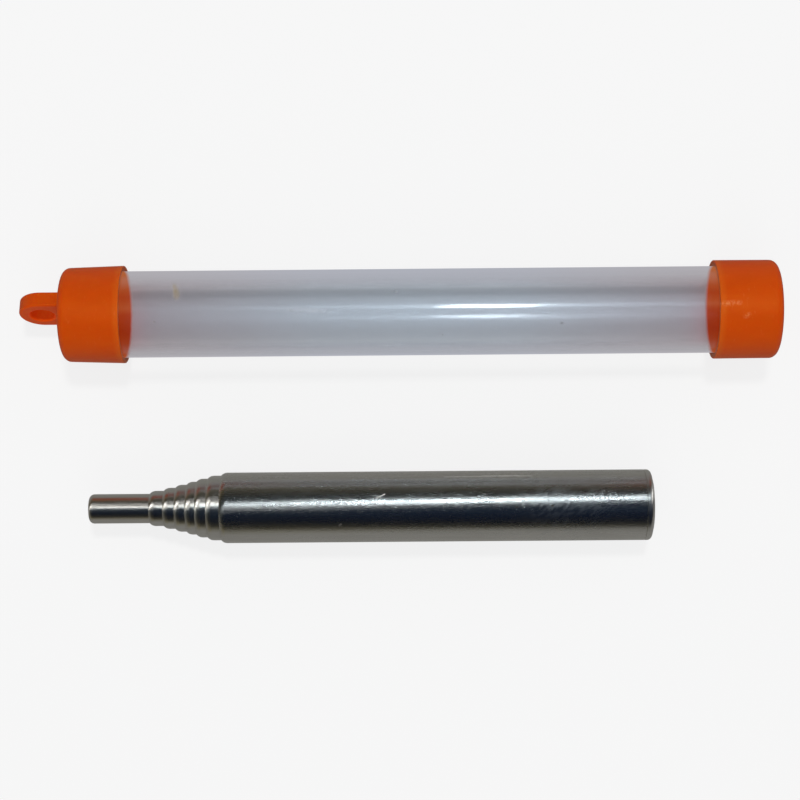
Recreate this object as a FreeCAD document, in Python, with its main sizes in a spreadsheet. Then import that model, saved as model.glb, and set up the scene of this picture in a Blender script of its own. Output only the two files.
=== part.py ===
import FreeCAD, Part
import Sketcher
import math
import os

# Telescopic blow pipe with its storage tube, laid side by side on a bench.
# Frame: +Z up, +X from the nozzle towards the mouthpiece, origin on the bench
# under the middle of the whole set. Millimetres throughout.
#
# Blow pipe: eight nested stainless tubes. Each has a rolled-in front lip; sections
# 2 to 7 also have a rolled stop bead near their rear ends. Two half-round bronze
# shims ride on the rear of every inner tube and give the sliding friction; their
# nubs drop into two holes in the tube wall. A pressed-in mouthpiece plug closes
# the outer tube.
# Storage tube: clear extruded tube with two push-on caps, one with a hang loop.

doc = FreeCAD.newDocument("BlowPipeSet")

# ---------------------------------------------------------------- driving sizes
# alias, value, note
SIZES = [
    # pipe tubes
    ("wall", 0.25, "wall thickness of every metal tube"),
    ("tube_len", 71.8, "cut length of the outer tube and of sections 2 to 7"),
    ("tip_len", 80.1, "cut length of the nozzle tube, section 8"),
    ("outer_od", 12.0, "outer tube"),
    ("second_od", 11.0, "section 2"),
    ("third_od", 10.0, "section 3"),
    ("fourth_od", 9.0, "section 4"),
    ("fifth_od", 8.0, "section 5"),
    ("sixth_od", 7.0, "section 6"),
    ("seventh_od", 6.0, "section 7"),
    ("tip_od", 5.0, "section 8"),
    # closed position: how far each tube's rear end sits ahead of the next outer one's
    ("second_step", 2.3, "section 2 ahead of the outer tube"),
    ("third_step", 1.9, "section 3 ahead of section 2"),
    ("fourth_step", 1.7, "section 4 ahead of section 3"),
    ("fifth_step", 1.9, "section 5 ahead of section 4"),
    ("sixth_step", 2.0, "section 6 ahead of section 5"),
    ("seventh_step", 2.4, "section 7 ahead of section 6"),
    ("tip_step", 2.0, "section 8 ahead of section 7"),
    # rolled front lip
    ("lip_round", 1.3, "outer radius of the rolled lip"),
    ("lip_gap", 0.05, "radial gap between a lip and the tube that slides in it"),
    ("lip_face", 0.03, "width of the ring face left at the lip's front"),
    ("lip_land", 0.22, "length of the lip's guiding land"),
    ("lip_depth", 0.75, "depth at which the lip has opened to the full bore"),
    ("nozzle_round", 0.85, "outer radius of the nozzle's mouth"),
    ("nozzle_hole", 3.8, "bore of the nozzle's mouth"),
    # rolled stop bead near a tube's rear end
    ("bead_back", 0.31, "bead centre behind the next tube's rear end"),
    ("bead_half", 0.45, "half width of the bead inside"),
    ("bead_round", 0.464, "radius of the bead inside"),
    ("groove_half", 0.35, "half width of the groove outside"),
    ("groove_round", 0.354, "radius of the groove outside"),
    # friction shims
    ("shim_len", 8.0, "length of a shim"),
    ("shim_tail", 2.7, "bare tube left behind the shims"),
    ("shim_gap", 0.02, "radial gap either side of a shim"),
    ("shim_arc", 162.0, "angle one shim wraps"),
    ("nub_dia", 1.0, "locating nub"),
    ("nub_depth", 0.2, "how far a nub stands in from the shim"),
    ("nub_hole", 1.2, "hole in the tube for a nub"),
    # mouthpiece plug
    ("flange_len", 1.15, "thickness of the plug's flange"),
    ("flange_round", 0.72, "rounding of the flange's outer edge"),
    ("boss_high", 0.2, "raised ring round the mouth, above the flange"),
    ("boss_dia", 9.4, "raised ring's diameter"),
    ("boss_edge", 0.1, "edge break of the raised ring"),
    ("seam_edge", 0.08, "edge breaks that leave the fine seam between plug and tube"),
    ("mouth_hole", 4.4, "air bore through the plug"),
    ("mouth_flare", 0.7, "radius of the cove at the bore's outer edge"),
    ("plug_gap", 0.05, "gap between the plug and section 2's rear end"),
    # storage tube and caps
    ("case_od", 14.5, "clear tube outside"),
    ("case_bore", 13.1, "clear tube inside"),
    ("case_bare", 98.55, "clear tube showing between the cap rims"),
    ("case_edge", 0.12, "edge break at the tube's cut ends"),
    ("plain_rim_od", 16.5, "plain cap at its rim"),
    ("plain_end_od", 16.44, "plain cap where its end rounding starts"),
    ("plain_len", 10.6, "plain cap from rim to end face"),
    ("loop_rim_od", 16.36, "loop cap at its rim"),
    ("loop_end_od", 15.8, "loop cap where its end rounding starts"),
    ("loop_cap_len", 10.3, "loop cap from rim to end face"),
    ("cap_deep", 8.9, "depth of both caps' sockets"),
    ("cap_round", 1.3, "rounding between a cap's side and end"),
    ("cap_rim", 0.16, "rounding of the rim's outer edge"),
    ("cap_lead", 0.28, "lead-in chamfer inside the rim"),
    ("cap_gap", 0.02, "radial gap between cap and tube"),
    ("cap_floor", 0.4, "gap between the tube's end and the cap's floor"),
    ("gate_dia", 3.0, "gate recess in the plain cap's end"),
    ("gate_deep", 0.35, "depth of the gate recess"),
    ("gate_nub", 0.9, "gate stub in the recess"),
    # hang loop
    ("loop_len", 7.55, "loop's reach beyond the cap's end face"),
    ("loop_wide", 7.8, "loop's width"),
    ("loop_thick", 2.6, "loop's thickness"),
    ("loop_eye", 4.1, "hole in the loop"),
    ("loop_edge", 0.38, "rounding of the loop's edges"),
    ("loop_shift", 1.2, "loop's mid-plane off the cap's axis"),
    ("loop_clock", 63.7, "angle the loop cap is turned on the tube"),
    # where the two items lie
    ("pipe_rear", 43.0, "X of the plug's outer face"),
    ("pipe_side", -17.67, "Y of the pipe's axis"),
    ("case_side", 15.42, "Y of the storage tube's axis"),
    ("case_middle", 3.625, "X of the middle of the storage tube"),
]

sheet = doc.addObject("Spreadsheet::Sheet", "Params")
for row, (alias, value, note) in enumerate(SIZES, start=1):
    sheet.set("A%d" % row, alias)
    sheet.set("B%d" % row, repr(value))
    sheet.set("C%d" % row, note)
    sheet.setAlias("B%d" % row, alias)
doc.recompute()


class Size:
    """A number together with the spreadsheet expression it comes from."""

    def __init__(self, value, text):
        self.value = float(value)
        self.text = text

    def _join(self, other, sign, work):
        if not isinstance(other, Size):
            other = Size(other, repr(other))
        text = "(%s %s %s)" % (self.text, sign, other.text)
        return Size(work(self.value, other.value), text)

    def __add__(self, other):
        return self._join(other, "+", float.__add__)

    def __sub__(self, other):
        return self._join(other, "-", float.__sub__)

    def __mul__(self, other):
        return self._join(other, "*", float.__mul__)

    def __truediv__(self, other):
        return self._join(other, "/", float.__truediv__)

    def __neg__(self):
        return self * -1.0


CELLS = {alias: Size(value, "Params." + alias) for alias, value, _ in SIZES}


def cell(alias):
    return CELLS[alias]


# ---------------------------------------------------------------- sketches
def new_body(label):
    body = doc.addObject("PartDesign::Body", label)
    body.Label = label
    return body


def new_sketch(body, name, role, offset=None):
    """Sketch on the body's origin plane of that role, moved along its normal by offset."""
    plane = next(f for f in body.Origin.OriginFeatures if f.Role == role)
    sketch = body.newObject("Sketcher::SketchObject", name)
    sketch.AttachmentSupport = [(plane, "")]
    sketch.MapMode = "FlatFace"
    if offset is not None:
        sketch.AttachmentOffset = FreeCAD.Placement(
            FreeCAD.Vector(0, 0, offset.value), FreeCAD.Rotation()
        )
        sketch.setExpression("AttachmentOffset.Base.z", offset.text)
    return sketch


def constrain(sketch, kind, *where):
    sketch.addConstraint(Sketcher.Constraint(kind, *where))


def bind(sketch, name, size, kind, *where):
    """Add a named dimension that follows the spreadsheet."""
    index = sketch.addConstraint(Sketcher.Constraint(kind, *where, size.value))
    sketch.renameConstraint(index, name)
    sketch.setExpression("Constraints." + name, size.text)


def circle(centre, radius):
    return Part.Circle(FreeCAD.Vector(*centre, 0), FreeCAD.Vector(0, 0, 1), radius)


def add_line(sketch, start, end):
    line = Part.LineSegment(FreeCAD.Vector(*start, 0), FreeCAD.Vector(*end, 0))
    return sketch.addGeometry(line, False)


def add_arc(sketch, start, end, side, radius):
    """Minor arc with its centre on that side of travel. Returns its index, first and last point."""
    along_x, along_y = end[0] - start[0], end[1] - start[1]
    chord = math.hypot(along_x, along_y)
    rise = math.sqrt(max(radius**2 - chord**2 / 4, 0.0))
    centre = (
        (start[0] + end[0]) / 2 - side * along_y / chord * rise,
        (start[1] + end[1]) / 2 + side * along_x / chord * rise,
    )
    from_angle, to_angle = [
        math.atan2(point[1] - centre[1], point[0] - centre[0]) for point in (start, end)
    ]
    # a sketch arc always runs anticlockwise, so a clockwise one is entered backwards
    if side == HOLLOW:
        arc = Part.ArcOfCircle(circle(centre, radius), from_angle, to_angle)
        return sketch.addGeometry(arc, False), 1, 2
    arc = Part.ArcOfCircle(circle(centre, radius), to_angle, from_angle)
    return sketch.addGeometry(arc, False), 2, 1


# Outlines run clockwise, with the material on the right of travel.
ROUND = -1  # arc centre on the right: the material bulges
HOLLOW = 1  # arc centre on the left: the material is scooped out


def outline(sketch, corners):
    """Closed clockwise outline.

    A corner is (x, y) when a line leaves it, or (x, y, ROUND or HOLLOW, radius) for an arc.
    x and y are Sizes, or 0 for on the axis. A float x is only a first estimate: the edges
    meeting there are made tangent, and that decides it.
    """
    at = [
        [v.value if isinstance(v, Size) else float(v) for v in corner[:2]]
        for corner in corners
    ]
    ends = []
    for i, (_, _, *bend) in enumerate(corners):
        start, end = at[i], at[(i + 1) % len(at)]
        if bend:
            side, radius = bend
            ends.append(add_arc(sketch, start, end, side, radius.value))
        else:
            ends.append((add_line(sketch, start, end), 1, 2))
    for i, (x, y, *bend) in enumerate(corners):
        before, _, last = ends[i - 1]
        edge, first, _ = ends[i]
        joint = "Tangent" if isinstance(x, float) else "Coincident"
        constrain(sketch, joint, before, last, edge, first)
        if isinstance(x, Size):
            bind(sketch, "x%d" % i, x, "DistanceX", -1, 1, edge, first)
        elif x == 0:
            constrain(sketch, "PointOnObject", edge, first, -2)
        if isinstance(y, Size):
            bind(sketch, "y%d" % i, y, "DistanceY", -1, 1, edge, first)
        elif y == 0:
            constrain(sketch, "PointOnObject", edge, first, -1)
        if bend:
            bind(sketch, "r%d" % i, bend[1], "Radius", edge)


def circle_sketch(body, name, role, diameter, across=None, offset=None):
    """A circle on the sketch's X axis, at the origin unless across is given."""
    sketch = new_sketch(body, name, role, offset)
    middle = (across.value if across else 0, 0)
    edge = sketch.addGeometry(circle(middle, diameter.value / 2), False)
    if across:
        bind(sketch, "across", across, "DistanceX", -1, 1, edge, 3)
    else:
        constrain(sketch, "PointOnObject", edge, 3, -2)
    constrain(sketch, "PointOnObject", edge, 3, -1)
    bind(sketch, "dia", diameter, "Diameter", edge)
    return sketch


# ---------------------------------------------------------------- features
def drive(feature, name, size):
    """Set a property and tie it to the spreadsheet."""
    setattr(feature, name, size.value)
    feature.setExpression(name, size.text)


def revolve(body, corners, angle=None):
    """Turn an outline in the XY plane about X: fully, or by an angle centred on +Y."""
    sketch = new_sketch(body, "Profile", "XY_Plane")
    outline(sketch, corners)
    turned = body.newObject("PartDesign::Revolution", "Turned")
    turned.Profile = sketch
    turned.ReferenceAxis = (sketch, ["H_Axis"])
    if angle is None:
        turned.Angle = 360.0
    else:
        turned.Midplane = True
        drive(turned, "Angle", angle)
    sketch.Visibility = False


def extrude(body, kind, name, sketch, length, midplane=False):
    """A Pad or a Pocket of a sketch."""
    doc.recompute()
    feature = body.newObject("PartDesign::" + kind, name)
    feature.Profile = sketch
    feature.Midplane = midplane
    feature.Type = 0  # by length
    drive(feature, "Length", length)
    sketch.Visibility = False
    return feature


def put(body, x, y, z, rotation=None):
    body.Placement = FreeCAD.Placement(
        FreeCAD.Vector(x.value, y.value, z.value), rotation or FreeCAD.Rotation()
    )
    for axis, size in (("x", x), ("y", y), ("z", z)):
        body.setExpression("Placement.Base." + axis, size.text)


# ---------------------------------------------------------------- pipe tubes
# from the outermost tube to the innermost
LABELS = {
    "outer": "outer_tube",
    "second": "section_2_tube",
    "third": "section_3_tube",
    "fourth": "section_4_tube",
    "fifth": "section_5_tube",
    "sixth": "section_6_tube",
    "seventh": "section_7_tube",
    "tip": "section_8_nozzle_tube",
}
ORDER = list(LABELS)

pipe_y, pipe_z = cell("pipe_side"), cell("outer_od") / 2

# X of each tube's rear end
rear = {"outer": cell("pipe_rear") - cell("boss_high") - cell("flange_len")}
for outer, inner in zip(ORDER, ORDER[1:]):
    rear[inner] = rear[outer] - cell(inner + "_step")


def outside(name):
    return cell(name + "_od") / 2


def bore_of(name):
    return outside(name) - cell("wall")


def build_tube(name):
    """Tube in its own frame: lip at X 0, rear end at X full."""
    body = new_body(LABELS[name])
    full = cell("tip_len" if name == "tip" else "tube_len")
    skin, bore = outside(name), bore_of(name)
    if name == "tip":
        lip, lip_round = cell("nozzle_hole") / 2, cell("nozzle_round")
    else:
        follower = ORDER[ORDER.index(name) + 1]
        lip, lip_round = outside(follower) + cell("lip_gap"), cell("lip_round")
    nose = lip + cell("lip_face")
    # where the lip's rounding runs out into the straight wall
    drop = skin.value - nose.value
    shoulder = math.sqrt(lip_round.value**2 - (lip_round.value - drop) ** 2)
    groove, bead = [], []
    if name not in ("outer", "tip"):
        middle = full - cell(follower + "_step") + cell("bead_back")
        groove = [
            (middle - cell("groove_half"), skin, HOLLOW, cell("groove_round")),
            (middle + cell("groove_half"), skin),
        ]
        # the first line returns along the bore from the rear end
        bead = [
            (middle + cell("bead_half"), bore, ROUND, cell("bead_round")),
            (middle - cell("bead_half"), bore),
        ]
        # the groove's first corner is reached by a line from the shoulder
    corners = [
        (0, nose, ROUND, lip_round),
        (shoulder, skin),
        *groove,
        (full - cell("seam_edge"), skin),
        (full, skin - cell("seam_edge")),
        (full, bore),
        *bead,
        (cell("lip_depth"), bore),
        (cell("lip_land"), lip),
        (0, lip),
    ]
    revolve(body, corners)
    if name != "outer":
        # one drilling through both walls makes the two seats for the shims' nubs
        seat = full - cell("shim_tail") - cell("shim_len") / 2
        holes = circle_sketch(body, "NubSeats", "XY_Plane", cell("nub_hole"), across=seat)
        extrude(body, "Pocket", "NubHoles", holes, skin * 2 + 1, midplane=True)
    put(body, rear[name] - full, pipe_y, pipe_z)
    return body


# ---------------------------------------------------------------- friction shims
UP = FreeCAD.Rotation(FreeCAD.Vector(1, 0, 0), 90)
DOWN = FreeCAD.Rotation(FreeCAD.Vector(1, 0, 0), -90)


def build_shim(label, name, turn):
    """Half-round strip about +Y in its own frame, rear edge at X far, one nub pointing inwards."""
    body = new_body(label)
    carrier = ORDER[ORDER.index(name) - 1]
    low = outside(name) + cell("shim_gap")
    high = bore_of(carrier) - cell("shim_gap")
    far = cell("shim_len")
    revolve(body, [(0, low), (0, high), (far, high), (far, low)], cell("shim_arc"))
    # the nub grows from the middle of the strip's thickness towards the axis;
    # the XZ plane's normal is -Y, so a negative offset lies at +Y
    middle = (low + high) / 2
    nub = circle_sketch(
        body, "NubRound", "XZ_Plane", cell("nub_dia"), across=far / 2, offset=-middle
    )
    extrude(body, "Pad", "Nub", nub, middle - (low - cell("nub_depth")))
    put(body, rear[name] - cell("shim_tail") - far, pipe_y, pipe_z, turn)
    return body


# ---------------------------------------------------------------- mouthpiece plug
def build_plug():
    """Plug in its own frame: front end of the spigot at X 0, outer face at X total."""
    body = new_body("mouthpiece_plug")
    spigot = cell("second_step") - cell("plug_gap")
    face = spigot + cell("flange_len")
    total = face + cell("boss_high")
    skin, bore = outside("outer"), bore_of("outer")
    mouth, ring = cell("mouth_hole") / 2, cell("boss_dia") / 2
    seam, rounding = cell("seam_edge"), cell("flange_round")
    edge, flare = cell("boss_edge"), cell("mouth_flare")
    corners = [
        (0, mouth),
        (0, bore - seam * 2),
        (seam * 2, bore),
        (spigot, bore),
        (spigot, skin - seam),
        (spigot + seam, skin),
        (face - rounding, skin, ROUND, rounding),
        (face, skin - rounding),
        (face, ring),
        (total - edge, ring),
        (total, ring - edge),
        (total, mouth + flare, HOLLOW, flare),
        (total - flare, mouth),
    ]
    revolve(body, corners)
    put(body, cell("pipe_rear") - total, pipe_y, pipe_z)
    return body


# ---------------------------------------------------------------- storage tube
case_y, case_z = cell("case_side"), cell("plain_rim_od") / 2


def build_case_tube():
    body = new_body("case_tube")
    full = cell("case_bare") + (cell("cap_deep") - cell("cap_floor")) * 2
    skin, bore, edge = cell("case_od") / 2, cell("case_bore") / 2, cell("case_edge")
    corners = [
        (0, bore + edge),
        (0, skin - edge),
        (edge, skin),
        (full - edge, skin),
        (full, skin - edge),
        (full, bore + edge),
        (full - edge, bore),
        (edge, bore),
    ]
    revolve(body, corners)
    put(body, cell("case_middle") - full / 2, case_y, case_z)
    return body


# ---------------------------------------------------------------- caps
def turn_cap(body, rim_od, end_od, far):
    """Cup with its rim at X 0 and its closed end at X far."""
    rim, end = rim_od / 2, end_od / 2
    socket = cell("case_od") / 2 + cell("cap_gap")
    floor, corner = cell("cap_deep"), cell("cap_round")
    corners = [
        (0, socket + cell("cap_lead")),
        (0, rim - cell("cap_rim"), ROUND, cell("cap_rim")),
        (cell("cap_rim"), rim),
        (far - corner, end, ROUND, corner),
        (far, end - corner),
        (far, 0),
        (floor, 0),
        (floor, socket),
        (cell("cap_lead"), socket),
    ]
    revolve(body, corners)


def build_plain_cap():
    """Cap on the tube's +X end, with a ring-shaped gate recess round a stub."""
    body = new_body("plain_cap")
    far = cell("plain_len")
    turn_cap(body, cell("plain_rim_od"), cell("plain_end_od"), far)
    recess = circle_sketch(body, "GateRecess", "YZ_Plane", cell("gate_dia"), offset=far)
    stub = cell("gate_nub")
    inner = recess.addGeometry(circle((0, 0), stub.value / 2), False)
    constrain(recess, "Coincident", 0, 3, inner, 3)
    bind(recess, "stub", stub, "Diameter", inner)
    extrude(body, "Pocket", "Gate", recess, cell("gate_deep"))
    put(body, cell("case_middle") + cell("case_bare") / 2, case_y, case_z)
    return body


def tongue_sketch(body):
    """Flat tongue along X, rooted in the cap's end wall, with a round end and a round eye."""
    arm = cell("loop_wide") / 2
    centre = cell("loop_cap_len") + cell("loop_len") - arm
    root = (cell("loop_cap_len") + cell("cap_deep")) / 2
    eye_dia = cell("loop_eye")
    sketch = new_sketch(body, "Tongue", "XY_Plane", offset=-cell("loop_shift"))
    half_wide, middle = arm.value, (centre.value, 0)
    left = add_line(sketch, (root.value, half_wide), (centre.value, half_wide))
    round_end = Part.ArcOfCircle(circle(middle, half_wide), -math.pi / 2, math.pi / 2)
    tip = sketch.addGeometry(round_end, False)
    right = add_line(sketch, (centre.value, -half_wide), (root.value, -half_wide))
    base = add_line(sketch, (root.value, -half_wide), (root.value, half_wide))
    eye = sketch.addGeometry(circle(middle, eye_dia.value / 2), False)
    constrain(sketch, "Tangent", left, 2, tip, 2)
    constrain(sketch, "Tangent", tip, 1, right, 1)
    constrain(sketch, "Coincident", right, 2, base, 1)
    constrain(sketch, "Coincident", base, 2, left, 1)
    constrain(sketch, "Horizontal", left)
    constrain(sketch, "Horizontal", right)
    constrain(sketch, "Vertical", base)
    constrain(sketch, "PointOnObject", tip, 3, -1)
    constrain(sketch, "Coincident", tip, 3, eye, 3)
    bind(sketch, "arm", arm, "Radius", tip)
    bind(sketch, "reach", centre, "DistanceX", -1, 1, tip, 3)
    bind(sketch, "root", root, "DistanceX", -1, 1, base, 1)
    bind(sketch, "eye", eye_dia, "Diameter", eye)
    return sketch


def loop_edges(shape):
    """Names of the edges on either flat face of the tongue, beyond the cap's end."""
    shift, thick = cell("loop_shift").value, cell("loop_thick").value
    end = cell("loop_cap_len").value
    faces = (-shift - thick / 2, -shift + thick / 2)
    chosen = []
    for index, edge in enumerate(shape.Edges, start=1):
        box = edge.BoundBox
        flat = abs(box.ZMax - box.ZMin) < 1e-6
        on_face = any(abs(box.ZMax - z) < 1e-6 for z in faces)
        # the 0.5 leaves out the edges where the tongue meets the cap
        beyond = box.XMin > end - 1e-6 and box.XMax > end + 0.5
        if flat and on_face and beyond:
            chosen.append("Edge%d" % index)
    return chosen


def build_loop_cap():
    """Cap on the tube's -X end, turned about the tube's axis, with its hang loop."""
    body = new_body("loop_cap")
    turn_cap(body, cell("loop_rim_od"), cell("loop_end_od"), cell("loop_cap_len"))
    tongue = tongue_sketch(body)
    pad = extrude(body, "Pad", "HangLoop", tongue, cell("loop_thick"), midplane=True)
    doc.recompute()
    soften = body.newObject("PartDesign::Fillet", "SoftEdges")
    soften.Base = (pad, loop_edges(pad.Shape))
    drive(soften, "Radius", cell("loop_edge"))
    body.Tip = soften
    clock = FreeCAD.Rotation(FreeCAD.Vector(1, 0, 0), cell("loop_clock").value)
    reverse = FreeCAD.Rotation(FreeCAD.Vector(0, 0, 1), 180)
    rim_x = cell("case_middle") - cell("case_bare") / 2
    put(body, rim_x, case_y, case_z, clock.multiply(reverse))
    return body


# ---------------------------------------------------------------- build
parts = [build_tube(name) for name in ORDER]
for number, name in enumerate(ORDER[1:], start=2):
    parts.append(build_shim("shim_%d_upper" % number, name, UP))
    parts.append(build_shim("shim_%d_lower" % number, name, DOWN))
parts += [build_plug(), build_case_tube(), build_plain_cap(), build_loop_cap()]
doc.recompute()


# ---------------------------------------------------------------- check and write
LEAST_CHANGE = 0.05  # mm3 that every pad must add and every pocket remove


def check_body(body):
    shape = body.Shape
    if shape.isNull() or not shape.isValid() or len(shape.Solids) != 1:
        raise RuntimeError("%s has no single valid solid" % body.Label)
    for feature in body.Group:
        if feature.TypeId not in ("PartDesign::Pad", "PartDesign::Pocket"):
            continue
        change = feature.Shape.Volume - feature.BaseFeature.Shape.Volume
        if feature.TypeId == "PartDesign::Pocket":
            change = -change
        if change < LEAST_CHANGE:
            raise RuntimeError("%s: %s changed nothing" % (body.Label, feature.Name))


for thing in doc.Objects:
    if any(word in thing.State for word in ("Invalid", "Error")):
        raise RuntimeError("%s (%s) failed: %s" % (thing.Label, thing.Name, thing.State))
for body in parts:
    check_body(body)

os.makedirs("parts", exist_ok=True)
for body in parts:
    body.Shape.exportStep(os.path.join("parts", body.Label + ".step"))
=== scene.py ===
import math

import bpy
from mathutils import Matrix, Vector


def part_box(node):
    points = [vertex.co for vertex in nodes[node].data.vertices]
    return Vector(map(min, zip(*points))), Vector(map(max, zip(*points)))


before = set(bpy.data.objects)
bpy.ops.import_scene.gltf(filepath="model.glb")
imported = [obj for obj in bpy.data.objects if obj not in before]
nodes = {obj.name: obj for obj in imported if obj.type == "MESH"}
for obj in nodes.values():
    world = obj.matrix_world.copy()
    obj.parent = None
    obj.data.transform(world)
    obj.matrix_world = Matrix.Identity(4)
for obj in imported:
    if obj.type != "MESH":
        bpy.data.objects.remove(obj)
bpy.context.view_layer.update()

# Axes of the two round items, from the CAD boxes (metres).
lo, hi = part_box("outer_tube")
PIPE_Y, PIPE_Z = (lo.y + hi.y) / 2, (lo.z + hi.z) / 2
lo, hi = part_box("case_tube")
CASE_Y, CASE_Z = (lo.y + hi.y) / 2, (lo.z + hi.z) / 2
CASE_LO, CASE_HI = lo.x, hi.x
LOOP_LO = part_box("loop_cap")[0].x * 1000  # the loop's free end, mm

PALE = 0.892  # floor as the camera sees it


# ------------------------------------------------------------------ node helpers
class Tree:
    """Thin helper over a node tree: t.add(type, **inputs) and t.math(op, a, b)."""

    def __init__(self, tree):
        self.tree = tree
        tree.nodes.clear()

    def put(self, socket, value):
        if isinstance(value, bpy.types.NodeSocket):
            self.tree.links.new(value, socket)
        elif hasattr(socket, "default_value"):
            try:
                socket.default_value = value
            except (TypeError, ValueError):
                socket.default_value = (*value, 1.0)

    def add(self, kind, props=None, **inputs):
        node = self.tree.nodes.new(kind)
        for key, value in (props or {}).items():
            setattr(node, key, value)
        for key, value in inputs.items():
            name = key.replace("_", " ")
            if key.startswith("i") and key[1:].isdigit():
                socket = node.inputs[int(key[1:])]
            else:
                socket = node.inputs[name]
            self.put(socket, value)
        return node

    def math(self, op, a, b=None, c=None, clamp=False):
        node = self.tree.nodes.new("ShaderNodeMath")
        node.operation = op
        node.use_clamp = clamp
        for i, v in enumerate((a, b, c)):
            if v is not None:
                self.put(node.inputs[i], v)
        return node.outputs[0]

    def mix(self, fac, a, b, kind="RGBA", blend="MIX"):
        node = self.tree.nodes.new("ShaderNodeMix")
        node.data_type = kind
        if kind == "RGBA":
            node.blend_type = blend
            fa, ia, ib, out = 0, 6, 7, 2
        else:
            fa, ia, ib, out = 0, 2, 3, 0
        self.put(node.inputs[fa], fac)
        self.put(node.inputs[ia], a if isinstance(a, (bpy.types.NodeSocket, float, int)) or len(a) == 4 else (*a, 1.0))
        self.put(node.inputs[ib], b if isinstance(b, (bpy.types.NodeSocket, float, int)) or len(b) == 4 else (*b, 1.0))
        return node.outputs[out]

    def ramp(self, fac, stops, interpolation="LINEAR"):
        node = self.tree.nodes.new("ShaderNodeValToRGB")
        ramp = node.color_ramp
        ramp.interpolation = interpolation
        while len(ramp.elements) < len(stops):
            ramp.elements.new(0.5)
        for element, (at, colour) in zip(ramp.elements, stops):
            element.position = at
            element.color = colour if len(colour) == 4 else (*colour, 1.0)
        self.put(node.inputs[0], fac)
        return node.outputs[0]

    def noise(self, vector, scale, detail=2.0, roughness=0.5, distortion=0.0):
        node = self.add("ShaderNodeTexNoise")
        self.put(node.inputs["Vector"], vector)
        node.inputs["Scale"].default_value = scale
        node.inputs["Detail"].default_value = detail
        node.inputs["Roughness"].default_value = roughness
        node.inputs["Distortion"].default_value = distortion
        return node.outputs[0]

    def stretch(self, vector, sx, sy, sz):
        node = self.add("ShaderNodeVectorMath", {"operation": "MULTIPLY"})
        self.put(node.inputs[0], vector)
        node.inputs[1].default_value = (sx, sy, sz)
        return node.outputs[0]

    def vec(self, x, y, z):
        node = self.add("ShaderNodeCombineXYZ")
        for i, v in enumerate((x, y, z)):
            self.put(node.inputs[i], v)
        return node.outputs[0]


def grey(v):
    return (v, v, v, 1.0)


def linear(r, g, b):
    """sRGB 0..255 to linear."""

    def one(c):
        c /= 255.0
        return c / 12.92 if c <= 0.04045 else ((c + 0.055) / 1.055) ** 2.4

    return (one(r), one(g), one(b), 1.0)


def material(name):
    mat = bpy.data.materials.new(name)
    mat.use_nodes = True
    return mat, Tree(mat.node_tree)


def stroke(t, x, arc, x0, a0, x1, a1, width):
    """1 on the line from (x0, a0) to (x1, a1) on the unrolled tube, falling to 0 at width from it (mm)."""
    dx, da = x1 - x0, a1 - a0
    length = dx * dx + da * da
    px = t.math("SUBTRACT", x, x0)
    pa = t.math("SUBTRACT", arc, a0)
    along = t.math("ADD", t.math("MULTIPLY", px, dx / length), t.math("MULTIPLY", pa, da / length), clamp=True)
    qx = t.math("SUBTRACT", px, t.math("MULTIPLY", along, dx))
    qa = t.math("SUBTRACT", pa, t.math("MULTIPLY", along, da))
    d = t.math("SQRT", t.math("ADD", t.math("MULTIPLY", qx, qx), t.math("MULTIPLY", qa, qa)))
    return t.math("SUBTRACT", 1.0, t.math("DIVIDE", d, width), clamp=True)


def around(t, axis_y, axis_z):
    """Object coordinates turned into x along the tube, angle round it (radians, 0 at the top, + towards +Y) and
    radius, all as sockets, plus the raw vector. Lengths in millimetres."""
    coord = t.add("ShaderNodeTexCoord").outputs["Object"]
    mm = t.stretch(coord, 1000.0, 1000.0, 1000.0)
    sep = t.add("ShaderNodeSeparateXYZ", i0=mm)
    y = t.math("SUBTRACT", sep.outputs[1], axis_y * 1000)
    z = t.math("SUBTRACT", sep.outputs[2], axis_z * 1000)
    angle = t.math("ARCTAN2", y, z)
    radius = t.math("SQRT", t.math("ADD", t.math("MULTIPLY", y, y), t.math("MULTIPLY", z, z)))
    return mm, sep.outputs[0], y, z, angle, radius


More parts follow.
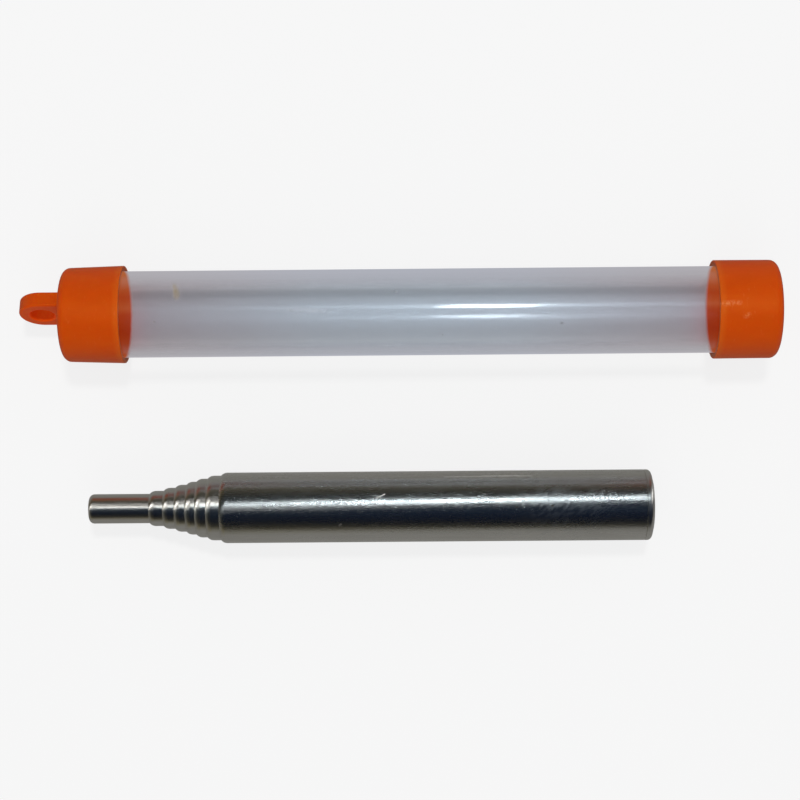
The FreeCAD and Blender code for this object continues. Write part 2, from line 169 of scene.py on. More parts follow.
# ------------------------------------------------------------------ polished steel
def steel(name, tint=(0.60, 0.592, 0.572), rough=0.30, spread=0.95, grain_size=1.0, grain_depth=1.0, relief=1.0, marks=False):
    """Drawn and polished stainless tube. Streaks run along it from drawing; the polishing marks run round it, so a
    highlight spreads along the tube and breaks up into fine glints; a few handling scratches cross it."""
    mat, t = material(name)
    mm, x, y, z, angle, radius = around(t, PIPE_Y, PIPE_Z)
    arc = t.math("MULTIPLY", angle, radius)

    # long streaks left by drawing: vary round the tube, hardly along it
    drawn = t.noise(t.vec(t.math("MULTIPLY", x, 0.035), arc, t.math("MULTIPLY", radius, 0.7)), 2.2, 4.0, 0.62)
    # polishing marks: run round the tube, a little askew
    skew = t.math("ADD", x, t.math("MULTIPLY", arc, 0.45))
    polish = t.noise(t.vec(skew, t.math("MULTIPLY", arc, 0.30), radius), 5.5 / grain_size, 2.0, 0.55)
    # fine grain that makes the highlight sparkle
    grain = t.noise(t.vec(x, arc, radius), 5.0 / grain_size, 2.0, 0.60)
    glint = t.ramp(t.noise(t.vec(t.math("MULTIPLY", x, 1.0), t.math("MULTIPLY", arc, 0.8), t.math("ADD", radius, 7.0)), 4.4 / grain_size, 1.5, 0.5),
                   [(0.0, grey(0)), (0.58, grey(0)), (0.72, grey(1)), (1.0, grey(1))])
    # slow waviness of the wall
    wave = t.noise(t.vec(t.math("MULTIPLY", x, 0.25), arc, radius), 0.55, 2.0, 0.5)
    # sparse crossing scratches
    cut_a = t.noise(t.vec(t.math("ADD", t.math("MULTIPLY", x, 0.25), t.math("MULTIPLY", arc, 1.1)), t.math("MULTIPLY", arc, 0.12), radius), 5.0, 2.0, 0.5)
    line_a = t.ramp(cut_a, [(0.0, grey(0)), (0.488, grey(0)), (0.5, grey(1)), (0.512, grey(0)), (1.0, grey(0))])
    where = t.noise(mm, 0.32, 2.0, 0.5)
    sparse = t.ramp(where, [(0.0, grey(0)), (0.50, grey(0)), (0.62, grey(1)), (1.0, grey(1))])
    scratches = t.math("MULTIPLY", line_a, sparse)

    # heights in micrometres
    height = t.math("MULTIPLY", grain, 10.0 * grain_depth * grain_size)
    height = t.math("ADD", height, t.math("MULTIPLY", polish, 9.0 * grain_depth * grain_size))
    height = t.math("ADD", height, t.math("MULTIPLY", glint, 6.0 * grain_depth * grain_size))
    height = t.math("ADD", height, t.math("MULTIPLY", drawn, 1.5))
    height = t.math("ADD", height, t.math("MULTIPLY", wave, 3.0))
    height = t.math("SUBTRACT", height, t.math("MULTIPLY", scratches, 3.0))
    bump = t.add("ShaderNodeBump", Strength=relief, Distance=0.000001, Height=height)

    tone = t.ramp(drawn, [(0.0, (0.84, 0.84, 0.84)), (0.42, (0.95, 0.95, 0.95)), (0.58, (1.0, 1.0, 1.0)), (1.0, (1.07, 1.06, 1.04))])
    base = t.mix(1.0, (*tint, 1.0), tone, blend="MULTIPLY")
    film = t.noise(t.stretch(mm, 0.5, 1, 1), 0.23, 3.0, 0.55)
    warm = t.ramp(film, [(0.0, (1.0, 1.0, 1.0)), (0.5, (1.0, 0.995, 0.985)), (1.0, (0.97, 0.955, 0.925))])
    base = t.mix(1.0, base, warm, blend="MULTIPLY")
    rough_now = t.math("ADD", rough, t.math("MULTIPLY", t.math("SUBTRACT", drawn, 0.5), 0.06))
    rough_now = t.math("ADD", rough_now, t.math("MULTIPLY", scratches, 0.08))
    rough_now = t.math("ADD", rough_now, t.math("MULTIPLY", t.math("SUBTRACT", film, 0.4), 0.06), clamp=True)
    tangent = t.add("ShaderNodeCombineXYZ", i0=1.0, i1=0.40, i2=0.017).outputs[0]
    bsdf = t.add("ShaderNodeBsdfPrincipled", Base_Color=base, Metallic=1.0, Roughness=rough_now,
                 Anisotropic=spread, Normal=bump.outputs[0], Tangent=tangent)
    # the finest marks only show as sparkle beside a highlight
    points = t.ramp(t.noise(t.vec(x, t.math("MULTIPLY", arc, 1.4), t.math("ADD", radius, 3.0)), 4.6, 1.0, 0.5),
                    [(0.0, grey(0)), (0.57, grey(0)), (0.68, grey(1)), (1.0, grey(1))])
    where = t.ramp(t.noise(t.vec(t.math("MULTIPLY", x, 0.22), arc, 9.0), 0.5, 2.0, 0.5), [(0.0, grey(0.15)), (0.42, grey(0.3)), (0.62, grey(1)), (1.0, grey(1))])
    fine = t.math("MULTIPLY", t.math("MULTIPLY", points, where), 0.30 * min(grain_depth, 1.0))
    if marks:
        # a patch of slanting rub marks towards the mouth end
        c, n = math.cos(math.radians(40)), math.sin(math.radians(40))
        across = t.math("SUBTRACT", t.math("MULTIPLY", arc, c), t.math("MULTIPLY", x, n))
        along = t.math("ADD", t.math("MULTIPLY", arc, n), t.math("MULTIPLY", x, c))
        slant = t.ramp(t.noise(t.vec(across, t.math("MULTIPLY", along, 0.16), 4.0), 4.6, 1.0, 0.5), [(0.0, grey(0)), (0.48, grey(0)), (0.56, grey(1)), (1.0, grey(1))])
        patch = t.ramp(t.math("DIVIDE", x, 40.0, clamp=True), [(0.0, grey(0)), (0.50, grey(0.0)), (0.60, grey(1)), (0.80, grey(0.8)), (0.92, grey(0.3)), (1.0, grey(0.2))])
        fine = t.math("MAXIMUM", fine, t.math("MULTIPLY", t.math("MULTIPLY", slant, patch), 0.42))
    frosted = t.add("ShaderNodeBsdfAnisotropic", Color=(0.62, 0.62, 0.61, 1.0), Roughness=0.42, Anisotropy=0.0)
    top = t.add("ShaderNodeMixShader")
    t.put(top.inputs[0], fine)
    t.put(top.inputs[1], bsdf.outputs[0])
    t.put(top.inputs[2], frosted.outputs[0])
    if marks:
        below = top
        # a fresh scratch, two faint long rubs, a few specks of dirt
        bright = stroke(t, x, arc, -3.7, 2.18, -2.25, 2.88, 0.10)
        rubs = t.math("MAXIMUM", stroke(t, x, arc, 7.8, 6.52, 22.3, 6.62, 0.15), stroke(t, x, arc, 14.0, 6.78, 20.5, 6.84, 0.12))
        bright = t.math("ADD", t.math("MULTIPLY", bright, 1.6), t.math("MULTIPLY", rubs, 0.26), clamp=True)
        matt = t.add("ShaderNodeBsdfDiffuse", Color=(0.80, 0.79, 0.76, 1.0))
        top = t.add("ShaderNodeMixShader")
        t.put(top.inputs[0], bright)
        t.put(top.inputs[1], below.outputs[0])
        t.put(top.inputs[2], matt.outputs[0])
        dirt = t.math("MAXIMUM", stroke(t, x, arc, -9.9, -2.5, -9.7, -2.3, 0.28), stroke(t, x, arc, 25.6, 0.62, 25.8, 0.68, 0.20))
        dirt = t.math("MAXIMUM", dirt, stroke(t, x, arc, 19.7, 0.48, 19.9, 0.50, 0.18))
        soil = t.add("ShaderNodeBsdfDiffuse", Color=(0.05, 0.048, 0.042, 1.0))
        below = top
        top = t.add("ShaderNodeMixShader")
        t.put(top.inputs[0], t.math("MULTIPLY", dirt, 1.6, clamp=True))
        t.put(top.inputs[1], below.outputs[0])
        t.put(top.inputs[2], soil.outputs[0])
    t.add("ShaderNodeOutputMaterial", Surface=top.outputs[0])
    return mat


# ------------------------------------------------------------------ bronze shims
def bronze():
    mat, t = material("shim_bronze")
    mm, x, y, z, angle, radius = around(t, PIPE_Y, PIPE_Z)
    arc = t.math("MULTIPLY", angle, radius)
    rolled = t.noise(t.vec(t.math("MULTIPLY", x, 4.0), t.math("MULTIPLY", arc, 0.4), radius), 2.5, 3.0, 0.6)
    stain = t.noise(mm, 0.8, 3.0, 0.6)
    base = t.ramp(stain, [(0.0, (0.34, 0.17, 0.065)), (0.5, (0.60, 0.35, 0.15)), (1.0, (0.70, 0.44, 0.21))])
    bump = t.add("ShaderNodeBump", Strength=0.4, Distance=0.00001, Height=rolled)
    rough = t.math("ADD", 0.22, t.math("MULTIPLY", stain, 0.2))
    bsdf = t.add("ShaderNodeBsdfPrincipled", Base_Color=base, Metallic=1.0, Roughness=rough, Normal=bump.outputs[0])
    t.add("ShaderNodeOutputMaterial", Surface=bsdf.outputs[0])
    return mat


# ------------------------------------------------------------------ clear tube
def clear_tube():
    """Extruded clear plastic: faint lines along it, fine rubbing marks round it, a thin uneven haze, painted orange
    light from the caps at its ends, painted pale light along its outline, a painted view of each cap's lit inside, one
    painted highlight patch, and a few specks and one old smear."""
    mat, t = material("clear_tube")
    mm, x, y, z, angle, radius = around(t, CASE_Y, CASE_Z)
    arc = t.math("MULTIPLY", angle, radius)
    # extrusion lines run the length of the tube
    lines = t.noise(t.vec(t.math("MULTIPLY", x, 0.010), arc, radius), 2.6, 4.0, 0.6)
    broad = t.noise(t.vec(t.math("MULTIPLY", x, 0.006), arc, t.math("ADD", radius, 3.0)), 0.8, 2.0, 0.5)
    # a very slight waviness of the wall
    wave = t.noise(t.vec(t.math("MULTIPLY", x, 0.12), t.math("MULTIPLY", arc, 0.5), radius), 0.7, 2.0, 0.5)
    rub = t.noise(t.vec(x, t.math("MULTIPLY", arc, 0.35), radius), 3.0, 3.0, 0.6)
    height = t.math("ADD", t.math("MULTIPLY", lines, 2.0), t.math("MULTIPLY", wave, 5.0))
    height = t.math("ADD", height, t.math("MULTIPLY", rub, 1.0))
    bump = t.add("ShaderNodeBump", Strength=1.0, Distance=0.000001, Height=height)
    # how far each cap has been pulled from its place: the painted orange light of the caps and the painted view of
    # their insides show in the wall only where the caps really are
    pulled = []
    for cap, sign in (("loop_cap", 1.0), ("plain_cap", -1.0)):
        here = t.add("ShaderNodeTexCoord", {"object": nodes[cap]}).outputs["Object"]
        off = (nodes["case_tube"].matrix_world.inverted() @ nodes[cap].matrix_world).translation.x * 1000
        cap_x = t.add("ShaderNodeSeparateXYZ", i0=t.stretch(here, 1000.0, 1000.0, 1000.0)).outputs[0]
        pulled.append(t.math("MULTIPLY", t.math("SUBTRACT", t.math("ADD", cap_x, off), x), sign))
    # how near the caps: 0 in the middle, 1 at the ends of the bare tube
    middle, half = (CASE_LO + CASE_HI) * 500, (CASE_HI - CASE_LO) * 500 - 8.9
    left = t.math("SUBTRACT", t.math("SUBTRACT", middle, x), pulled[0])
    right = t.math("SUBTRACT", t.math("SUBTRACT", x, middle), pulled[1])
    near_cap = t.math("MAXIMUM", left, right)
    ends = t.math("DIVIDE", near_cap, half, clamp=True)
    ends = t.ramp(ends, [(0.0, grey(0)), (0.35, grey(0.10)), (0.80, grey(0.75)), (1.0, grey(1.0))])
    tint = t.mix(lines, (0.945, 0.955, 0.975, 1.0), (0.99, 0.995, 1.0, 1.0))
    # painted light: orange light from the caps, painted as a pink tint of the wall near them
    tint = t.mix(ends, tint, (0.905, 0.828, 0.828, 1.0), blend="MIX")
    upright = t.math("ADD", t.math("MULTIPLY", y, 0.5 / 7.25), 0.5, clamp=True)
    # painted light: more of the caps' orange light on the lower side, near each cap
    painted_cap_light_below = t.math("DIVIDE", near_cap, half, clamp=True)
    painted_cap_light_below = t.math("MULTIPLY", t.ramp(painted_cap_light_below, [(0.0, grey(0)), (0.90, grey(0)), (1.0, grey(1))]), t.ramp(upright, [(0.0, grey(0.6)), (0.2, grey(1)), (0.5, grey(1)), (0.6, grey(0.25)), (1.0, grey(0.2))]))
    tint = t.mix(t.math("MULTIPLY", painted_cap_light_below, 0.8), tint, (0.935, 0.770, 0.785, 1.0))
    # whether the line of sight, carried on through the tube, comes out inside a cap
    view = t.add("ShaderNodeSeparateXYZ", i0=t.add("ShaderNodeNewGeometry").outputs["Incoming"]).outputs
    flat = t.math("ADD", t.math("MULTIPLY", view[1], view[1]), t.math("MULTIPLY", view[2], view[2]))
    chord = t.math("ADD", t.math("MULTIPLY", y, view[1]), t.math("MULTIPLY", z, view[2]))
    # 0 where the wall faces the eye in cross section, 1 at the tube's outline
    facing = t.math("DIVIDE", t.math("ABSOLUTE", chord), t.math("MULTIPLY", radius, t.math("SQRT", t.math("MAXIMUM", flat, 0.02))))
    facing = t.math("SUBTRACT", 1.0, facing, clamp=True)
    chord = t.math("DIVIDE", t.math("MULTIPLY", chord, 2.0), t.math("MAXIMUM", flat, 0.02))
    leave = t.math("SUBTRACT", x, t.math("MULTIPLY", view[0], chord))
    bare = (CASE_HI - CASE_LO) * 500 - 8.5
    past = t.math("SUBTRACT", bare, t.math("MAXIMUM", t.math("SUBTRACT", t.math("SUBTRACT", middle, leave), pulled[0]),
                                           t.math("SUBTRACT", t.math("SUBTRACT", leave, middle), pulled[1])))
    open_wall = t.ramp(t.math("ADD", t.math("MULTIPLY", past, 1.6), 0.5, clamp=True), [(0.0, grey(0)), (1.0, grey(1))])
    glass = t.add("ShaderNodeBsdfPrincipled", Base_Color=tint, Roughness=0.09, IOR=1.46, Normal=bump.outputs[0])
    glass.inputs["Transmission Weight"].default_value = 1.0
    # rubbing marks round the tube spread the lamp's reflection along it
    tangent = t.add("ShaderNodeCombineXYZ", i0=1.0, i1=0.013, i2=0.017).outputs[0]
    sheen = t.add("ShaderNodeBsdfAnisotropic", Color=(0.9, 0.95, 1.0, 1.0), Roughness=0.20, Anisotropy=-0.75,
                  Normal=bump.outputs[0], Tangent=tangent)
    bloom = t.add("ShaderNodeBsdfAnisotropic", Color=(0.85, 0.93, 1.0, 1.0), Roughness=0.52, Anisotropy=0.0)
    soft_glass = t.add("ShaderNodeMixShader")
    t.put(soft_glass.inputs[0], t.math("MULTIPLY", open_wall, 0.10))
    t.put(soft_glass.inputs[1], glass.outputs[0])
    t.put(soft_glass.inputs[2], bloom.outputs[0])
    body = t.add("ShaderNodeMixShader")
    t.put(body.inputs[0], t.math("MULTIPLY", t.math("ADD", rub, 0.35), 0.014))
    t.put(body.inputs[1], soft_glass.outputs[0])
    t.put(body.inputs[2], sheen.outputs[0])
    # rubbed haze and dust: a little diffuse on top
    haze_noise = t.noise(t.vec(t.math("MULTIPLY", x, 0.25), arc, radius), 0.9, 4.0, 0.65)
    haze = t.ramp(haze_noise, [(0.0, grey(0.002)), (0.45, grey(0.006)), (0.75, grey(0.015)), (1.0, grey(0.03))])
    haze = t.math("ADD", haze, t.math("MULTIPLY", t.ramp(broad, [(0.0, grey(0)), (0.45, grey(0)), (0.7, grey(1)), (1.0, grey(1))]), 0.012))
    # painted light: the haze is painted pinker near the caps
    colour = t.mix(ends, (0.66, 0.69, 0.76, 1.0), (0.66, 0.56, 0.58, 1.0))
    # the smear and the specks, by place on the tube
    spots = 0.0
    for sx, sa, rx, ra, depth in ((-36.2, 27.0, 0.75, 1.3, 0.26), (-36.5, 36.0, 0.6, 1.0, 0.22), (-36.7, 43.0, 0.45, 0.8, 0.2)):
        d = t.math("ADD", t.math("POWER", t.math("DIVIDE", t.math("SUBTRACT", x, sx), rx), 2.0),
                   t.math("POWER", t.math("DIVIDE", t.math("SUBTRACT", arc, math.radians(sa) * 7.25), ra), 2.0))
        spot = t.math("MULTIPLY", t.math("SUBTRACT", 1.0, t.math("MINIMUM", d, 1.0)), depth)
        spots = t.math("ADD", spot, spots)
    spots = t.math("MULTIPLY", spots, t.math("ADD", haze_noise, 0.5))
    colour = t.mix(t.math("MULTIPLY", spots, 4.0, clamp=True), colour, (0.42, 0.33, 0.16, 1.0))
    haze = t.math("ADD", haze, spots)
    haze = t.math("MULTIPLY", haze, t.math("ADD", 0.10, t.math("MULTIPLY", open_wall, 0.90)))
    for sx, sa, r in ((-39.9, -9.0, 0.24), (-0.1, 28.0, 0.24), (27.1, -15.0, 0.24), (7.5, -30.0, 0.16)):
        speck = stroke(t, x, arc, sx, math.radians(sa) * 7.25, sx + 0.1, math.radians(sa) * 7.25 + 0.05, r)
        colour = t.mix(speck, colour, (0.10, 0.10, 0.10, 1.0))
        haze = t.math("ADD", haze, t.math("MULTIPLY", speck, 1.0), clamp=True)
    # painted highlight: a pale diffuse patch, broken up like a scuff, where the lamp's highlight trails off
    patch = t.math("MULTIPLY", stroke(t, x, arc, -17.5, 0.55, -11.8, 0.40, 0.55), t.ramp(rub, [(0.0, grey(0.1)), (0.42, grey(0.3)), (0.6, grey(1)), (1.0, grey(1))]))
    colour = t.mix(patch, colour, (0.95, 0.97, 1.0, 1.0))
    haze = t.math("ADD", haze, t.math("MULTIPLY", patch, 0.16), clamp=True)
    dust = t.add("ShaderNodeBsdfDiffuse", Color=colour, Roughness=0.5)
    skin = t.add("ShaderNodeMixShader")
    t.put(skin.inputs[0], haze)
    t.put(skin.inputs[1], body.outputs[0])
    t.put(skin.inputs[2], dust.outputs[0])
    # painted light: towards its outline the thick wall is given an even pale grey emission, more of it on the +Y side
    # and pinker near the caps
    lean = t.math("MULTIPLY", t.math("DIVIDE", y, 7.25), 0.20, clamp=True)
    edge = t.ramp(t.math("ADD", facing, t.math("MULTIPLY", lean, t.math("MINIMUM", t.math("MULTIPLY", facing, 4.0), 1.0))), [(0.0, grey(0)), (0.32, grey(0)), (0.58, grey(0.75)), (0.78, grey(1.0)), (1.0, grey(1.0))])
    rim_colour = t.mix(ends, (0.420, 0.435, 0.490, 1.0), (0.425, 0.408, 0.435, 1.0))
    # painted light and shade: where a cap's inside lies behind the wall, an emission paints that inside, lighter at top
    # and bottom, darkest on the lower side, with a pale band just above the middle
    glow = t.ramp(upright, [(0.0, (0.40, 0.085, 0.028)), (0.10, (0.32, 0.046, 0.008)), (0.30, (0.29, 0.026, 0.003)), (0.50, (0.35, 0.040, 0.006)),
                            (0.58, (0.42, 0.080, 0.020)), (0.70, (0.38, 0.050, 0.009)), (0.88, (0.44, 0.105, 0.030)), (1.0, (0.42, 0.120, 0.042))])
    rim_colour = t.mix(open_wall, glow, rim_colour)
    rim = t.add("ShaderNodeEmission", Color=rim_colour, Strength=1.0)
    path = t.add("ShaderNodeLightPath")
    # painted light: for camera rays the cap-inside emission takes over the wall where a cap lies behind it
    inside = t.math("MULTIPLY", t.math("SUBTRACT", 1.0, open_wall), t.math("MULTIPLY", path.outputs["Is Camera Ray"], 0.84))
    edge = t.math("MAXIMUM", edge, inside)
    edged = t.add("ShaderNodeMixShader")
    t.put(edged.inputs[0], edge)
    t.put(edged.inputs[1], skin.outputs[0])
    t.put(edged.inputs[2], rim.outputs[0])
    # light passes straight on, less of it where it meets the wall at a glancing angle
    clearness = t.ramp(t.add("ShaderNodeLayerWeight", Blend=0.5).outputs["Facing"], [(0.0, grey(0.97)), (0.42, grey(0.95)), (0.62, grey(0.62)), (0.85, grey(0.15)), (1.0, grey(0.0))])
    through = t.add("ShaderNodeBsdfTransparent", Color=clearness)
    out = t.add("ShaderNodeMixShader")
    t.put(out.inputs[0], path.outputs["Is Shadow Ray"])
    t.put(out.inputs[1], edged.outputs[0])
    t.put(out.inputs[2], through.outputs[0])
    t.add("ShaderNodeOutputMaterial", Surface=out.outputs[0])
    return mat


# ------------------------------------------------------------------ orange caps
def orange():
    """Injection-moulded polyethylene: waxy, slightly see-through, with faint flow marks and scuffs, and painted light:
    a paler band along the thin rim, an emission inside it when seen through the clear tube, and an emission in the
    loop's eye and on its shaded face.
    """
    mat, t = material("orange_cap")
    mm, x, y, z, angle, radius = around(t, CASE_Y, CASE_Z)
    arc = t.math("MULTIPLY", angle, 8.0)
    flow = t.noise(t.stretch(mm, 0.35, 1, 1), 0.28, 3.0, 0.55, 0.6)
    grain = t.noise(mm, 9.0, 3.0, 0.6)
    mottle = t.noise(mm, 1.4, 3.0, 0.6)
    scuff_n = t.noise(t.vec(t.math("MULTIPLY", x, 1.6), t.math("MULTIPLY", arc, 0.5), radius), 1.4, 4.0, 0.7)
    scuff = t.ramp(scuff_n, [(0.0, grey(0)), (0.60, grey(0)), (0.74, grey(1)), (1.0, grey(1))])
    base = t.ramp(flow, [(0.0, (0.452, 0.040, 0.0002)), (0.5, (0.500, 0.048, 0.0003)), (1.0, (0.535, 0.058, 0.0005))])
    base = t.mix(t.math("MULTIPLY", t.math("SUBTRACT", mottle, 0.3), 0.25, clamp=True), base, (0.57, 0.076, 0.0006, 1.0))
    # painted light: a paler, yellower band along the thin rim, standing in for the light it lets through
    middle, half = (CASE_LO + CASE_HI) * 500, (CASE_HI - CASE_LO) * 500 - 8.5
    depth = t.math("SUBTRACT", t.math("ABSOLUTE", t.math("SUBTRACT", x, middle)), half)
    thin = t.ramp(t.math("DIVIDE", depth, 1.2, clamp=True), [(0.0, grey(1.0)), (0.45, grey(0.75)), (1.0, grey(0))])
    base = t.mix(t.math("MULTIPLY", thin, 0.55), base, (0.54, 0.095, 0.0060, 1.0))
    # three old knocks on the plain cap
    knock = stroke(t, x, arc, 53.3, 1.02, 56.0, 1.22, 0.60)
    knock = t.math("MAXIMUM", knock, stroke(t, x, arc, 57.1, -0.95, 57.5, -0.75, 0.55))
    chipped = t.ramp(t.noise(mm, 2.6, 3.0, 0.6), [(0.0, grey(0)), (0.42, grey(0.1)), (0.60, grey(1)), (1.0, grey(1))])
    knock = t.math("MULTIPLY", knock, chipped)
    base = t.mix(t.math("MULTIPLY", knock, 0.55), base, (0.70, 0.24, 0.09, 1.0))
    base = t.mix(t.math("MULTIPLY", scuff, 0.10), base, (0.80, 0.30, 0.12, 1.0))
    height = t.math("ADD", t.math("MULTIPLY", grain, 3.5), t.math("MULTIPLY", scuff, 2.0))
    height = t.math("ADD", height, t.math("MULTIPLY", mottle, 8.0))
    height = t.math("ADD", height, t.math("MULTIPLY", knock, 30.0))
    bump = t.add("ShaderNodeBump", Strength=1.0, Distance=0.000001, Height=height)
    rough = t.math("ADD", 0.46, t.math("MULTIPLY", scuff, 0.12))
    rough = t.math("ADD", rough, t.math("MULTIPLY", t.math("SUBTRACT", grain, 0.5), 0.12))
    bsdf = t.add("ShaderNodeBsdfPrincipled", Base_Color=base, Roughness=rough, IOR=1.46, Normal=bump.outputs[0])
    bsdf.inputs["Specular Tint"].default_value = (0.9, 0.78, 0.16, 1.0)
    bsdf.inputs["Specular IOR Level"].default_value = 0.45
    bsdf.inputs["Subsurface Weight"].default_value = 0.30
    bsdf.inputs["Subsurface Radius"].default_value = (1.0, 0.18, 0.03)
    bsdf.inputs["Subsurface Scale"].default_value = 0.0010
    # painted light: seen through the clear tube, the inside is an orange emission standing in for daylight through the
    # thin wall
    path = t.add("ShaderNodeLightPath")
    deep = t.math("MULTIPLY", path.outputs["Is Transmission Ray"], 0.80)
    glow = t.add("ShaderNodeEmission", Color=(0.43, 0.022, 0.0010, 1.0), Strength=1.0)
    out = t.add("ShaderNodeMixShader")
    t.put(out.inputs[0], deep)
    t.put(out.inputs[1], bsdf.outputs[0])
    t.put(out.inputs[2], glow.outputs[0])
    # painted light: an emission in the loop's eye and on its shaded face stands in for light coming through the thin
    # loop from behind
    turn = math.radians(63.7)
    wide = t.math("ADD", t.math("MULTIPLY", y, math.cos(turn)), t.math("MULTIPLY", z, math.sin(turn)))
    ex = t.math("SUBTRACT", x, LOOP_LO + 3.9)
    eye = t.math("SQRT", t.math("ADD", t.math("MULTIPLY", ex, ex), t.math("MULTIPLY", wide, wide)))
    eye = t.ramp(t.math("DIVIDE", eye, 4.0, clamp=True), [(0.0, grey(1)), (0.52, grey(1)), (0.60, grey(0)), (1.0, grey(0))])
    normal = t.add("ShaderNodeSeparateXYZ", i0=t.add("ShaderNodeNewGeometry").outputs["True Normal"])
    shaded = t.math("SUBTRACT", 0.0, normal.outputs[1], clamp=True)
    tongue = t.math("LESS_THAN", x, LOOP_LO + 7.45)
    through = t.math("MULTIPLY", t.math("ADD", t.math("MULTIPLY", eye, 0.17), t.math("MULTIPLY", shaded, 0.10)), tongue)
    sun = t.add("ShaderNodeEmission", Color=(1.0, 0.062, 0.004, 1.0), Strength=through)
    total = t.add("ShaderNodeAddShader")
    t.put(total.inputs[0], out.outputs[0])
    t.put(total.inputs[1], sun.outputs[0])
    t.add("ShaderNodeOutputMaterial", Surface=total.outputs[0])
    return mat


def assign(names, mat):
    for name in names:
        node = nodes[name]
        node.data.materials.clear()
        node.data.materials.append(mat)


inner = [n for n in nodes if n.startswith("section_")]
assign(["outer_tube"], steel("polished_steel", rough=0.27, grain_size=1.25, grain_depth=1.45, marks=True))
assign([n for n in inner if "nozzle" not in n], steel("polished_steel_inner", rough=0.29, spread=0.93, grain_size=1.3, grain_depth=0.6))
assign(["mouthpiece_plug"], steel("polished_steel_plug", rough=0.34, spread=0.70, grain_size=1.3, grain_depth=0.2, relief=0.12))
assign([n for n in inner if "nozzle" in n], steel("polished_steel_nozzle", tint=(0.60, 0.585, 0.56), rough=0.33, spread=0.85, grain_depth=0.4))
assign([n for n in nodes if n.startswith("shim_")], bronze())
assign(["case_tube"], clear_tube())
assign(["loop_cap", "plain_cap"], orange())

# ------------------------------------------------------------------ floor
bpy.ops.mesh.primitive_plane_add(size=6.0, location=(0, 0, 0))
floor = bpy.context.object
floor.name = "floor"
mat, t = material("floor")
path = t.add("ShaderNodeLightPath")
place = t.add("ShaderNodeSeparateXYZ", i0=t.add("ShaderNodeNewGeometry").outputs["Position"])
# seen directly: an evenly lit pale sheet that still takes soft shadows
shade = t.add("ShaderNodeBsdfDiffuse", Color=grey(0.10))
glow = t.add("ShaderNodeEmission", Color=grey(1.0), Strength=0.812)
seen = t.add("ShaderNodeAddShader")
t.put(seen.inputs[0], shade.outputs[0])
t.put(seen.inputs[1], glow.outputs[0])
# seen through the clear tube: the same sheet at its real, unlit-by-the-sweep brightness, a grey diffuse copy taking the
# tube's shadow, with an emission adding painted light
sheet = t.add("ShaderNodeBsdfDiffuse", Color=(0.340, 0.358, 0.393, 1.0))
lit = t.add("ShaderNodeEmission", Color=(0.226, 0.247, 0.268, 1.0), Strength=1.0)
behind = t.add("ShaderNodeAddShader")
t.put(behind.inputs[0], sheet.outputs[0])
t.put(behind.inputs[1], lit.outputs[0])
# painted reflection: for mirrored rays the floor is a mid grey emission, darker on the far side
share = t.math("DIVIDE", t.math("ADD", place.outputs[1], 0.10), 0.20, clamp=True)
grade = t.ramp(share, [(0.0, (0.30, 0.297, 0.283)), (0.42, (0.285, 0.282, 0.268)), (0.53, (0.265, 0.262, 0.246)), (0.60, (0.175, 0.170, 0.154)), (1.0, (0.170, 0.165, 0.150))])
dim = t.add("ShaderNodeEmission", Color=grade, Strength=1.0)
# painted light: for bounce rays the floor glows an even mid grey
bounce = t.add("ShaderNodeEmission", Color=(0.50, 0.49, 0.47, 1.0), Strength=1.0)


def pick(flag, no, yes):
    node = t.add("ShaderNodeMixShader")
    t.put(node.inputs[0], flag)
    t.put(node.inputs[1], no.outputs[0])
    t.put(node.inputs[2], yes.outputs[0])
    return node


first = t.math("LESS_THAN", path.outputs["Glossy Depth"], 0.5)
clean = t.math("MULTIPLY", path.outputs["Is Transmission Ray"], first)
mirrored = t.math("MAXIMUM", path.outputs["Is Glossy Ray"], t.math("MULTIPLY", path.outputs["Is Transmission Ray"], t.math("SUBTRACT", 1.0, first)))
floor_mix = pick(path.outputs["Is Camera Ray"], pick(clean, pick(mirrored, bounce, dim), behind), seen)
t.add("ShaderNodeOutputMaterial", Surface=floor_mix.outputs[0])
floor.data.materials.append(mat)

# ------------------------------------------------------------------ surroundings, as the shiny parts see them
world = bpy.data.worlds.new("studio")
bpy.context.scene.world = world
world.use_nodes = True
world.cycles.sampling_method = "NONE"
t = Tree(world.node_tree)
direction = t.add("ShaderNodeTexCoord").outputs["Generated"]
sep = t.add("ShaderNodeSeparateXYZ", i0=direction)
# angle from straight up, + towards +Y, as a share of -90..+90 degrees
angle = t.math("ARCTAN2", sep.outputs[1], sep.outputs[2])
share = t.math("ADD", t.math("MULTIPLY", angle, 1.0 / math.pi), 0.5, clamp=True)


def at(deg):
    return deg / 180.0 + 0.5


bands = t.ramp(share, [
    (at(-90), (0.27, 0.27, 0.258)),
    (at(-80), (0.255, 0.255, 0.245)),
    (at(-73), (0.205, 0.205, 0.198)),
    (at(-68), (0.022, 0.022, 0.022)),
    (at(-56), (0.007, 0.009, 0.013)),
    (at(-28), (0.007, 0.012, 0.030)),
    (at(-8), (0.015, 0.025, 0.050)),
    (at(20), (0.030, 0.042, 0.066)),
    (at(44), (0.032, 0.038, 0.048)),
    (at(56), (0.045, 0.045, 0.043)),
    (at(68), (0.068, 0.066, 0.056)),
    (at(79), (0.120, 0.116, 0.099)),
    (at(90), (0.170, 0.164, 0.148)),
])
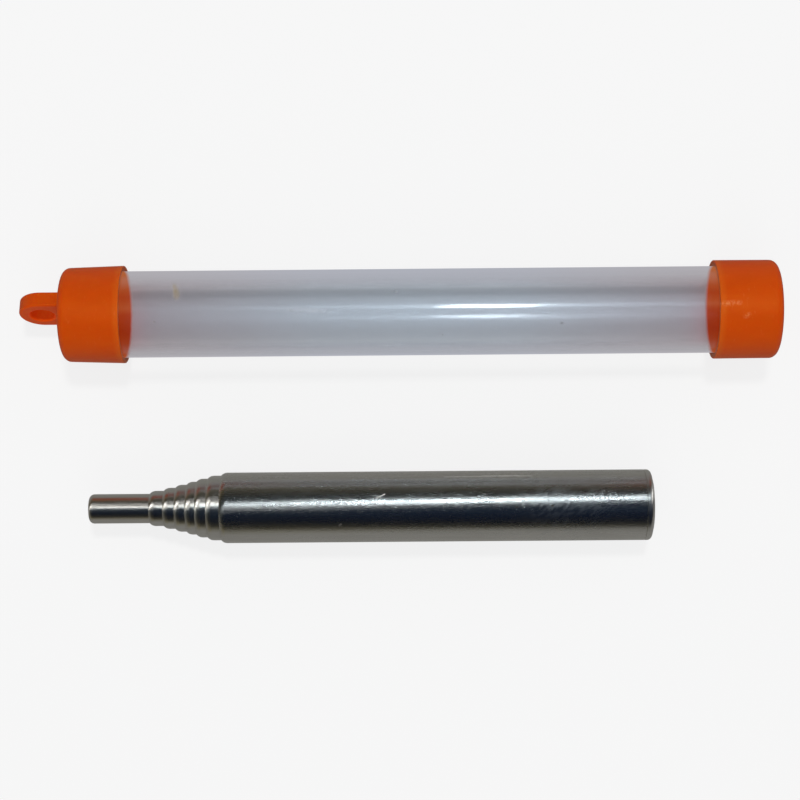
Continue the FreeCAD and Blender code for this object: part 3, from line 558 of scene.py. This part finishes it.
# warmer towards the nozzle side
side = t.ramp(t.math("ADD", sep.outputs[0], 0.5, clamp=True), [(0.0, (1.15, 1.0, 0.60)), (0.28, (1.08, 1.0, 0.70)), (0.45, (1.0, 1.0, 0.95)), (0.55, (1.0, 1.0, 1.0)), (1.0, (1.0, 1.0, 1.0))])
bands = t.mix(1.0, bands, side, blend="MULTIPLY")
path = t.add("ShaderNodeLightPath")
mirror = t.add("ShaderNodeBackground", Color=bands, Strength=1.0)
soft = t.add("ShaderNodeBackground", Color=(0.50, 0.51, 0.53, 1.0), Strength=1.0)
pale = t.add("ShaderNodeBackground", Color=(PALE, PALE, PALE, 1.0), Strength=1.0)
m1 = t.add("ShaderNodeMixShader")
t.put(m1.inputs[0], path.outputs["Is Diffuse Ray"])
t.put(m1.inputs[1], mirror.outputs[0])
t.put(m1.inputs[2], soft.outputs[0])
m2 = t.add("ShaderNodeMixShader")
t.put(m2.inputs[0], path.outputs["Is Camera Ray"])
t.put(m2.inputs[1], m1.outputs[0])
t.put(m2.inputs[2], pale.outputs[0])
t.add("ShaderNodeOutputWorld", Surface=m2.outputs[0])


# ------------------------------------------------------------------ lamps
def lamp(name, place, aim, size_x, size_y, radiance, colour=(1, 1, 1), shiny=True, matt=True):
    """Rectangular lamp; radiance is its brightness, so the power follows from its area."""
    data = bpy.data.lights.new(name, "AREA")
    data.shape = "RECTANGLE"
    data.size, data.size_y = size_x, size_y
    data.energy = radiance * size_x * size_y * math.pi
    data.color = colour
    obj = bpy.data.objects.new(name, data)
    bpy.context.scene.collection.objects.link(obj)
    obj.location = place
    obj.rotation_euler = (Vector(aim) - Vector(place)).to_track_quat("-Z", "Y").to_euler()
    obj.visible_camera = False
    obj.visible_glossy = shiny
    obj.visible_transmission = shiny
    obj.visible_diffuse = matt
    return obj


# the small lamp that the steel and the clear tube mirror
lamp("spark", (0.022, 0.0595, 0.171), (0.010, 0.0, 0.008), 0.022, 0.024, 34.0, (0.80, 0.92, 1.0), matt=False)


def only_for(light, prefixes):
    """Let a lamp shine on the named pieces alone."""
    group = bpy.data.collections.new(light.name + "_on")
    for name, node in nodes.items():
        if name.startswith(prefixes):
            group.objects.link(node)
    light.light_linking.receiver_collection = group


# a second, weaker one further left that only the pipe mirrors
only_for(lamp("spark_left", (-0.067, 0.0440, 0.171), (-0.045, -0.017, 0.006), 0.036, 0.034, 6.2, (1.0, 0.985, 0.94), matt=False),
         ("section_",))
# a low broad one that fills the lower side of the tube's highlight
only_for(lamp("skirt", (-0.052, 0.009, 0.171), (-0.020, -0.017, 0.006), 0.08, 0.062, 0.62, (0.95, 0.98, 1.0), matt=False),
         ("outer_",))
# glints on the rounded lips and on the mouth's rounded edge
only_for(lamp("lip_spark", (-0.17, 0.035, 0.11), (-0.038, -0.017, 0.008), 0.045, 0.045, 12.0, (1.0, 0.99, 0.96), matt=False),
         ("section_",))
only_for(lamp("mouth_spark", (0.185, 0.046, 0.055), (0.043, -0.017, 0.008), 0.060, 0.085, 3.0, matt=False), ("mouthpiece",))
# a soft strip along the caps
only_for(lamp("cap_strip", (0.0, 0.0500, 0.200), (0.0, 0.0155, 0.012), 0.24, 0.020, 5.0, (0.85, 0.95, 1.0), matt=False),
         ("loop_cap", "plain_cap"))
# the light that models the matt surfaces, from the far side, with soft-edged shadows
far = math.radians(24.5)
lamp("key", (0.05, math.sin(far), math.cos(far)), (0, 0, 0), 0.10, 0.10, 184.0, (1.0, 0.99, 0.97), shiny=False)
# a broad weak fill from the near side
near = math.radians(-52.0)
lamp("fill", (0.0, math.sin(near), math.cos(near)), (0, 0, 0), 0.7, 0.7, 1.45, (1.0, 0.99, 0.97), shiny=False)

# ------------------------------------------------------------------ camera
cam_data = bpy.data.cameras.new("camera")
cam = bpy.data.objects.new("camera", cam_data)
bpy.context.scene.collection.objects.link(cam)
bpy.context.scene.camera = cam
cam_data.sensor_width = 36.0
cam_data.lens = 1824.0 / 800.0 * 36.0
cam_data.clip_start, cam_data.clip_end = 0.01, 20.0
turn = Vector((math.radians(-3.616), math.radians(0.473), math.radians(-0.492)))
cam.matrix_world = Matrix.Translation((0.0030, 0.02001, 0.31481)) @ Matrix.Rotation(turn.length, 4, turn.normalized())

scene = bpy.context.scene
scene.view_settings.view_transform = "Standard"
scene.view_settings.look = "None"
scene.view_settings.exposure = 0.0
scene.cycles.max_bounces = 16
scene.cycles.transmission_bounces = 12
scene.cycles.glossy_bounces = 8
scene.cycles.transparent_max_bounces = 12
scene.cycles.caustics_reflective = False
scene.cycles.caustics_refractive = False
